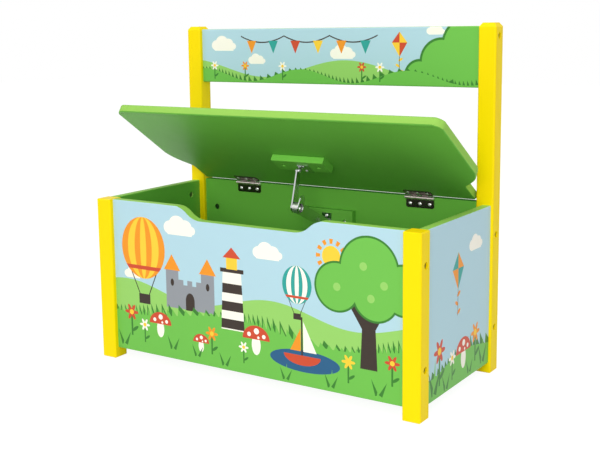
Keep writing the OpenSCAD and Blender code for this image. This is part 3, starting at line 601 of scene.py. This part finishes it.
def front_scene(ink):
    """The front picture from back to front: a motif, its middle, its reach and the rest."""
    scene = [
        (print_sun, 152, 26, (222, 26)),
        (print_cloud, -130, 36, (236, 26)),
        (print_cloud, 40, 30, (214, 22)),
        (print_cloud, -232, 21, (150, 15)),
        (print_hill, 0, EVERYWHERE, ((128, 13, 46, 0.6), ink.meadow)),
        (print_castle, -112, 55, (104, 100)),
        (print_fringe, 0, EVERYWHERE, ((88, 10, 60, 2.2, 13, 26), ink.leaf)),
        (print_fringe, 0, EVERYWHERE, ((90, 10, 60, 2.2, 9, 15), ink.grass)),
        (print_hill, 0, EVERYWHERE, ((92, 10, 60, 2.2), ink.grass)),
        (print_tower, -28, 30, (84, 132)),
        (print_balloon, -208, 48, (196, 92, ink.orange, ink.sun)),
        (print_balloon, 92, 28, (172, 52, ink.teal, ink.cream)),
        (print_tree, 214, 100, (62, 176)),
        (print_pond, 104, 62, (56, 62, 17, ink.navy)),
        (print_boat, 100, 36, (52, 78)),
    ]
    for x, z, size in ((16, 54, 44), (-92, 40, 28), (-176, 52, 40)):
        scene.append((print_toadstool, x, size * 0.6, (z, size)))
    for x, z, size, tone in (
        (-238, 44, 40, ink.brick), (-210, 36, 30, ink.cream), (-70, 38, 34, ink.orange),
        (-8, 34, 26, ink.cream), (180, 36, 32, ink.sun), (252, 44, 34, ink.brick),
    ):
        scene.append((print_flower, x, size * 0.45, (z, size, tone)))
    for x, z, size in (
        (-256, 26, 34), (-150, 34, 30), (-100, 30, 26), (-45, 24, 28), (70, 22, 26),
        (150, 24, 28), (230, 26, 32),
    ):
        scene.append((print_blades, x, size * 0.5, (z, size)))
    return scene


def front_print(ink, start, end):
    """The part of the front picture that lies between two places on the board."""
    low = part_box("front_panel")[0]
    art = Print(f"printed_front_{round(start - low.x / MM)}", 0, ink.sky)
    for motif, x, reach, rest in front_scene(ink):
        if x - reach < end and x + reach > start:
            motif(art, ink, x, *rest)
    return finish_print(art, art.axis(1) < low.y / MM + FACE_DEPTH, (0, 1, 0), ink)


def rail_print(ink):
    """A string of pennants between hills and clouds."""
    low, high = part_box("backrest_rail")
    base, top = low.z / MM, high.z / MM
    art = Print("printed_rail", 0, ink.sky)
    for x, z, size in ((26, 52, 20), (-222, 66, 22), (-150, 40, 15), (196, 88, 13)):
        print_cloud(art, ink, x, base + z, size)
    print_kite(art, ink, 132, base + 70, 44, ink.brick, ink.sun)
    art.paint(art.below(base + 26, 15, 52, 1.0), ink.meadow)
    for grow, tone in ((4, ink.leaf), (0, ink.grass)):
        for x, z, radius in ((250, 66, 40), (206, 40, 34), (270, 20, 44), (168, 16, 24)):
            art.paint(art.oval(x, base + z, radius + grow), tone)
    art.paint(art.fringe(base + 10, 11, 33, 3.4, 10, 14), ink.leaf)
    art.paint(art.below(base + 14, 11, 33, 3.4), ink.grass)
    for x, tone in (
        (-244, ink.cream), (-176, ink.orange), (-96, ink.cream), (62, ink.brick), (96, ink.cream),
    ):
        print_flower(art, ink, x, base + 6, 24, tone)
    line = (art.across * (1 / SWAG)).math("ABSOLUTE").math("FRACT")
    sag = (line - 0.5) * (line - 0.5) * SWAG_DEPTH + (top - SWAG_DROP)
    span = (art.across + SWAG / 2).math("ABSOLUTE") < 1.5 * SWAG
    art.paint(((art.up - sag).math("ABSOLUTE") < 1.1) * span, ink.bark)
    tones = (ink.orange, ink.teal, ink.brick, ink.sun)
    # Two pennants hang from each swag, a quarter of its width from its lowest place
    hang = top - SWAG_DROP + SWAG_DEPTH / 16
    for index in range(6):
        x = (index - 3.5) * SWAG / 2
        art.paint(art.wedge(x, hang, 10, 22, 180), tones[index % len(tones)])
    return finish_print(art, art.axis(1) < low.y / MM + FACE_DEPTH, (0, 1, 0), ink)


def side_print(ink, name, side):
    """A kite over flowers, on the outer face of a side board."""
    low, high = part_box(name)
    art = Print("printed_" + name, 1, ink.sky)
    print_cloud(art, ink, 56 * side, 222, 20)
    print_kite(art, ink, -8 * side, 196, 62, ink.teal, ink.orange)
    art.paint(art.fringe(56, 8, 40, 1.2, 12, 22), ink.leaf)
    art.paint(art.below(58, 8, 40, 1.2), ink.grass)
    for y, z, size, tone in (
        (-70, 34, 52, ink.brick), (58, 36, 46, ink.orange), (-26, 30, 34, ink.cream),
    ):
        print_flower(art, ink, y, z, size, tone)
    print_toadstool(art, ink, 14, 40, 46)
    for y, z, size in ((-88, 26, 52), (-48, 22, 34), (36, 24, 30), (86, 26, 44)):
        print_blades(art, ink, y, z, size)
    outer = low.x if side < 0 else high.x
    depth = (art.axis(0) - outer / MM) * float(-side)
    return finish_print(art, depth < FACE_DEPTH, (1, 0, 0), ink)


# ---------------------------------------------------------------- modelling


def only(obj):
    """Selects one object and makes it active."""
    if bpy.context.mode != "OBJECT":
        bpy.ops.object.mode_set(mode="OBJECT")
    bpy.ops.object.select_all(action="DESELECT")
    obj.select_set(True)
    bpy.context.view_layer.objects.active = obj


def settle(obj, body, slot, *nodes):
    """Lets a finished piece ride on a body and stand for its nodes."""
    only(obj)
    bpy.ops.object.transform_apply(location=True, rotation=True, scale=True)
    bpy.ops.object.shade_smooth_by_angle(angle=math.radians(SHARP_ANGLE))
    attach(obj, body)
    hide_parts(*nodes)


def paint(obj, material):
    """Gives a piece one material."""
    obj.data.materials.clear()
    obj.data.materials.append(material)


def finish_nodes(material, *names):
    """Gives CAD nodes a material in place of their plain one."""
    for name in names:
        paint(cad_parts[name], material)


def copy_of(node, name):
    """A merged copy of a CAD node's mesh, as the start of a finished piece."""
    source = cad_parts[node]
    made = bpy.data.objects.new(name, source.data.copy())
    made.data.name = name
    bpy.context.scene.collection.objects.link(made)
    made.matrix_world = source.matrix_world
    only(made)
    bpy.ops.object.mode_set(mode="EDIT")
    bpy.ops.mesh.select_all(action="SELECT")
    bpy.ops.mesh.customdata_custom_splitnormals_clear()
    bpy.ops.mesh.remove_doubles(threshold=MERGE)
    bpy.ops.mesh.dissolve_limited(
        angle_limit=math.radians(FLAT_ANGLE), use_dissolve_boundaries=False
    )
    bpy.ops.object.mode_set(mode="OBJECT")
    return made


def rounded_board(node, name, flat, square, radius):
    """A copy of a board that lies flat along one direction, with its outline rounded.

    The side that looks along square stays square.
    """
    board = copy_of(node, name)
    mesh = board.data
    flat, square = Vector(flat), Vector(square)
    depth = [vertex.co.dot(flat) for vertex in mesh.vertices]
    thick = max(depth) - min(depth)
    outline = set()
    for face in mesh.polygons:
        levels = [depth[index] for index in face.vertices]
        spans = max(levels) - min(levels) > SIDE_SPAN * thick
        upright = abs(face.normal.dot(flat)) < SIDE_LEAN
        if spans and upright and face.normal.dot(square) < ALONG:
            outline.update(face.edge_keys)
    bpy.ops.object.mode_set(mode="EDIT")
    bpy.ops.mesh.select_mode(type="EDGE")
    bpy.ops.mesh.select_all(action="DESELECT")
    bpy.ops.object.mode_set(mode="OBJECT")
    for edge in mesh.edges:
        first, second = edge.vertices
        level = abs(depth[first] - depth[second]) < LEVEL_SPAN * thick
        edge.select = edge.key in outline and level
    bpy.ops.object.mode_set(mode="EDIT")
    bpy.ops.mesh.bevel(
        offset=radius, segments=BEVEL_STEPS, affect="EDGES", clamp_overlap=False
    )
    bpy.ops.object.mode_set(mode="OBJECT")
    return board


def even_shading(obj):
    """Keeps the broad faces flat in the shading, next to their rounded edges."""
    only(obj)
    bpy.ops.object.modifier_add(type="WEIGHTED_NORMAL")
    obj.modifiers[-1].keep_sharp = True
    bpy.ops.object.modifier_apply(modifier=obj.modifiers[-1].name)


def cut_across(obj, places):
    """Cuts a mesh at right angles to X, so that each side can have its own finish."""
    only(obj)
    bpy.ops.object.mode_set(mode="EDIT")
    for place in places:
        bpy.ops.mesh.select_all(action="SELECT")
        bpy.ops.mesh.bisect(plane_co=(place * MM, 0, 0), plane_no=(1, 0, 0))
    bpy.ops.object.mode_set(mode="OBJECT")


# ---------------------------------------------------------------- operators


class BENCH_OT_posts(bpy.types.Operator):
    """Finish the four posts"""

    bl_idname = "bench.posts"
    bl_label = "Posts"

    def execute(self, context):
        ink = context.scene.bench_colours
        finish_nodes(
            satin_paint("yellow_satin_paint", tuple(ink.yellow), specular=0.1, roughness=0.42),
            "post_front_left", "post_front_right", "post_rear_left", "post_rear_right",
        )
        return {"FINISHED"}


class BENCH_OT_front_board(bpy.types.Operator):
    """Cut the front board into strips and print the picture on them"""

    bl_idname = "bench.front_board"
    bl_label = "Front board"

    def execute(self, context):
        ink = context.scene.bench_colours
        low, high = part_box("front_panel")
        board = copy_of("front_panel", "front_board")
        width = (high.x - low.x) / MM / STRIPS
        cuts = [low.x / MM + width * index for index in range(STRIPS + 1)]
        cut_across(board, cuts[1:-1])
        board.data.materials.clear()
        for start, end in zip(cuts, cuts[1:]):
            board.data.materials.append(front_print(ink, start, end))
        for face in board.data.polygons:
            strip = int((face.center.x - low.x) / MM / width)
            face.material_index = min(max(strip, 0), STRIPS - 1)
        settle(board, "frame", "sky_print", "front_panel")
        even_shading(board)
        return {"FINISHED"}


class BENCH_OT_boards(bpy.types.Operator):
    """Finish the printed and the plain boards"""

    bl_idname = "bench.boards"
    bl_label = "Boards"

    def execute(self, context):
        ink = context.scene.bench_colours
        finish_nodes(rail_print(ink), "backrest_rail")
        finish_nodes(side_print(ink, "side_panel_right", 1), "side_panel_right")
        finish_nodes(side_print(ink, "side_panel_left", -1), "side_panel_left")
        green, edge_highlight, leaf = tuple(ink.green), tuple(ink.edge_highlight), tuple(ink.leaf)
        slope = math.radians(LID_SLOPE)
        through = (0, math.sin(slope), math.cos(slope))
        front = (0, -math.cos(slope), math.sin(slope))
        # The stay block's front is painted lighter than the green, as painted light
        lit_block_front = tuple(BLOCK_FRONT_LIGHT * c for c in green)
        for name, paint_of, nodes in (
            # The back board's top edge gets the dark leaf green, as painted shade
            ("green_back_paint_shaded_edge", dict(edge=leaf, flat=(0, 1, 0), specular=0.0), ["back_panel"]),
            ("green_block_paint_lit_front", dict(edge=lit_block_front, front=front), ["lid_stay_block"]),
            ("green_inside_paint", {}, ["bottom_panel", "back_stay_block"]),
        ):
            finish_nodes(satin_paint(name, green, **paint_of), *nodes)
        rear = tuple(-part for part in front)
        radius = context.scene.bench_sizes.edge_round
        lid = rounded_board("lid", "lid_board", through, rear, radius)
        # The lid's green is darkened, as painted shade
        shaded_lid_green = tuple(LID_SHADE * c for c in green)
        # The lid's edges get the light green, as painted highlight
        paint(lid, satin_paint("shaded_green_lid_paint", shaded_lid_green, edge_highlight, through))
        settle(lid, "lid", "green_paint", "lid")
        even_shading(lid)
        return {"FINISHED"}


class BENCH_OT_fittings(bpy.types.Operator):
    """Finish the hinges, the stay and the fasteners"""

    bl_idname = "bench.fittings"
    bl_label = "Fittings"

    def execute(self, context):
        ink = context.scene.bench_colours
        finish_nodes(
            plated_metal("bright_plating", tuple(ink.nickel), 0.2, (1, 0.05, 1)),
            "base_bracket", "lid_stay_bracket", "lower_arm", "upper_arm", "disc_springs",
        )
        finish_nodes(
            plated_metal("pale_plating", tuple(ink.zinc), 0.42, (1, 1, 1)),
            "elbow_housing", "elbow_pin", "lower_pivot_pin", "upper_pivot_pin",
            "back_block_screws", "base_bracket_screws", "lid_block_screws",
            "lid_bracket_screws", "back_leaf_screws", "lid_leaf_screws",
            "hinge_pin_left", "hinge_pin_right",
        )
        # The bolts and nuts are darker than their metal, as painted shade of their holes
        finish_nodes(
            plated_metal("grey_plating_shaded", tuple(ink.shaded_steel), 0.3, (1, 1, 1)),
            "barrel_nuts", "joint_bolts",
        )
        # The hinge barrels get a painted highlight around the axis
        finish_nodes(
            hinge_plating("dark_plating", tuple(ink.bronze), tuple(ink.barrel_highlight)),
            "back_leaf_left", "back_leaf_right", "lid_leaf_left", "lid_leaf_right",
        )
        finish_nodes(bare_wood("bare_dowel_wood"), "wooden_dowels")
        finish_nodes(dull_plastic("black_washer_plastic"), "friction_washers")
        return {"FINISHED"}


class BENCH_OT_studio(bpy.types.Operator):
    """Set up the floor, the lamps, the world and the camera"""

    bl_idname = "bench.studio"
    bl_label = "Studio"

    def execute(self, context):
        scene = context.scene
        scene.view_settings.view_transform = "Standard"
        bpy.ops.object.select_all(action="DESELECT")
        width = scene.bench_sizes.floor_width
        bpy.ops.mesh.primitive_plane_add(size=width, location=(0, 0, -FLOOR_DROP))
        floor = context.object
        floor.name = "floor"
        paint(floor, self.floor_finish())
        self.world(scene)
        for name, place, aim, size, power in LAMPS:
            bpy.ops.object.light_add(type="AREA", location=place)
            lamp = context.object
            lamp.name = name
            lamp.data.shape = "DISK"
            lamp.data.size = size
            lamp.data.energy = power
            aim_at(lamp, aim)
        self.camera(scene)
        return {"FINISHED"}

    def floor_finish(self):
        """A pale floor that shows as white, apart from a faint shadow by the bench."""
        finish = Finish("pale_floor", roughness=0.9)
        finish.colour((0.9, 0.9, 0.9))
        seen, glossy, passing = [
            finish.node("ShaderNodeLightPath", {}, out=ray) for ray in SEEN_RAYS
        ]
        glow = finish.node("ShaderNodeEmission", {}, (1, 1, 1), FLOOR_GLOW)
        blend = finish.node(
            "ShaderNodeMixShader", {}, (seen | glossy | passing) * GLOW_SHARE,
            Value(finish, finish.shader.outputs[0]), glow,
        )
        output = finish.tree.nodes["Material Output"]
        finish.tree.links.new(blend.socket, output.inputs[0])
        return finish.material

    def world(self, scene):
        """A white world that is seen at full strength and lights at half of it."""
        scene.world = bpy.data.worlds.new("studio_world")
        scene.world.use_nodes = True
        tree = scene.world.node_tree
        path = tree.nodes.new("ShaderNodeLightPath")
        shown = path.outputs[SEEN_RAYS[0]]
        for ray in SEEN_RAYS[1:]:
            both = tree.nodes.new("ShaderNodeMath")
            both.operation = "MAXIMUM"
            tree.links.new(shown, both.inputs[0])
            tree.links.new(path.outputs[ray], both.inputs[1])
            shown = both.outputs[0]
        level = tree.nodes.new("ShaderNodeMapRange")
        level.inputs["To Min"].default_value = WORLD_LIGHT
        level.inputs["To Max"].default_value = WORLD_SEEN
        tree.links.new(shown, level.inputs["Value"])
        back = tree.nodes["Background"]
        back.inputs["Color"].default_value = (1, 1, 1, 1)
        tree.links.new(level.outputs[0], back.inputs["Strength"])

    def camera(self, scene):
        """A camera in front, to the right and a little above the bench."""
        turn = (
            Matrix.Rotation(math.radians(CAMERA_TURN), 3, "Z")
            @ Matrix.Rotation(math.radians(90 - CAMERA_TIP), 3, "X")
            @ Matrix.Rotation(math.radians(CAMERA_ROLL), 3, "Z")
        )
        bpy.ops.object.camera_add(location=CAMERA_PLACE)
        camera = bpy.context.object
        camera.name = "camera"
        camera.rotation_euler = turn.to_euler()
        camera.data.lens = CAMERA_LENS
        camera.data.shift_y = CAMERA_SHIFT
        camera.data.clip_start = CAMERA_NEAR
        scene.camera = camera


def aim_at(obj, point):
    """Turns a lamp towards a point."""
    direction = Vector(point) - obj.location
    obj.rotation_euler = direction.to_track_quat("-Z", "Y").to_euler()


class BENCH_PT_panel(bpy.types.Panel):
    """The bench's sizes, colours and steps"""

    bl_idname = "BENCH_PT_panel"
    bl_label = "Storage bench"
    bl_space_type = "VIEW_3D"
    bl_region_type = "UI"
    bl_category = "Bench"

    def draw(self, context):
        for group in (context.scene.bench_sizes, context.scene.bench_colours):
            box = self.layout.box()
            for name in group.bl_rna.properties.keys():
                if name not in ("rna_type", "name"):
                    box.prop(group, name)
        for step in STEPS:
            self.layout.operator(step.bl_idname)


STEPS = (BENCH_OT_posts, BENCH_OT_front_board, BENCH_OT_boards, BENCH_OT_fittings, BENCH_OT_studio)
CLASSES = (BenchColours, BenchSizes, *STEPS, BENCH_PT_panel)


def register():
    """Adds the operators, the panel and the bench's properties."""
    for cls in CLASSES:
        bpy.utils.register_class(cls)
    bpy.types.Scene.bench_colours = PointerProperty(type=BenchColours)
    bpy.types.Scene.bench_sizes = PointerProperty(type=BenchSizes)


def unregister():
    """Takes away what register added."""
    del bpy.types.Scene.bench_colours
    del bpy.types.Scene.bench_sizes
    for cls in reversed(CLASSES):
        bpy.utils.unregister_class(cls)


def main():
    """Builds the looks."""
    register()
    bpy.ops.bench.posts()
    bpy.ops.bench.front_board()
    bpy.ops.bench.boards()
    bpy.ops.bench.fittings()
    bpy.ops.bench.studio()


if __name__ == "__main__":
    main()
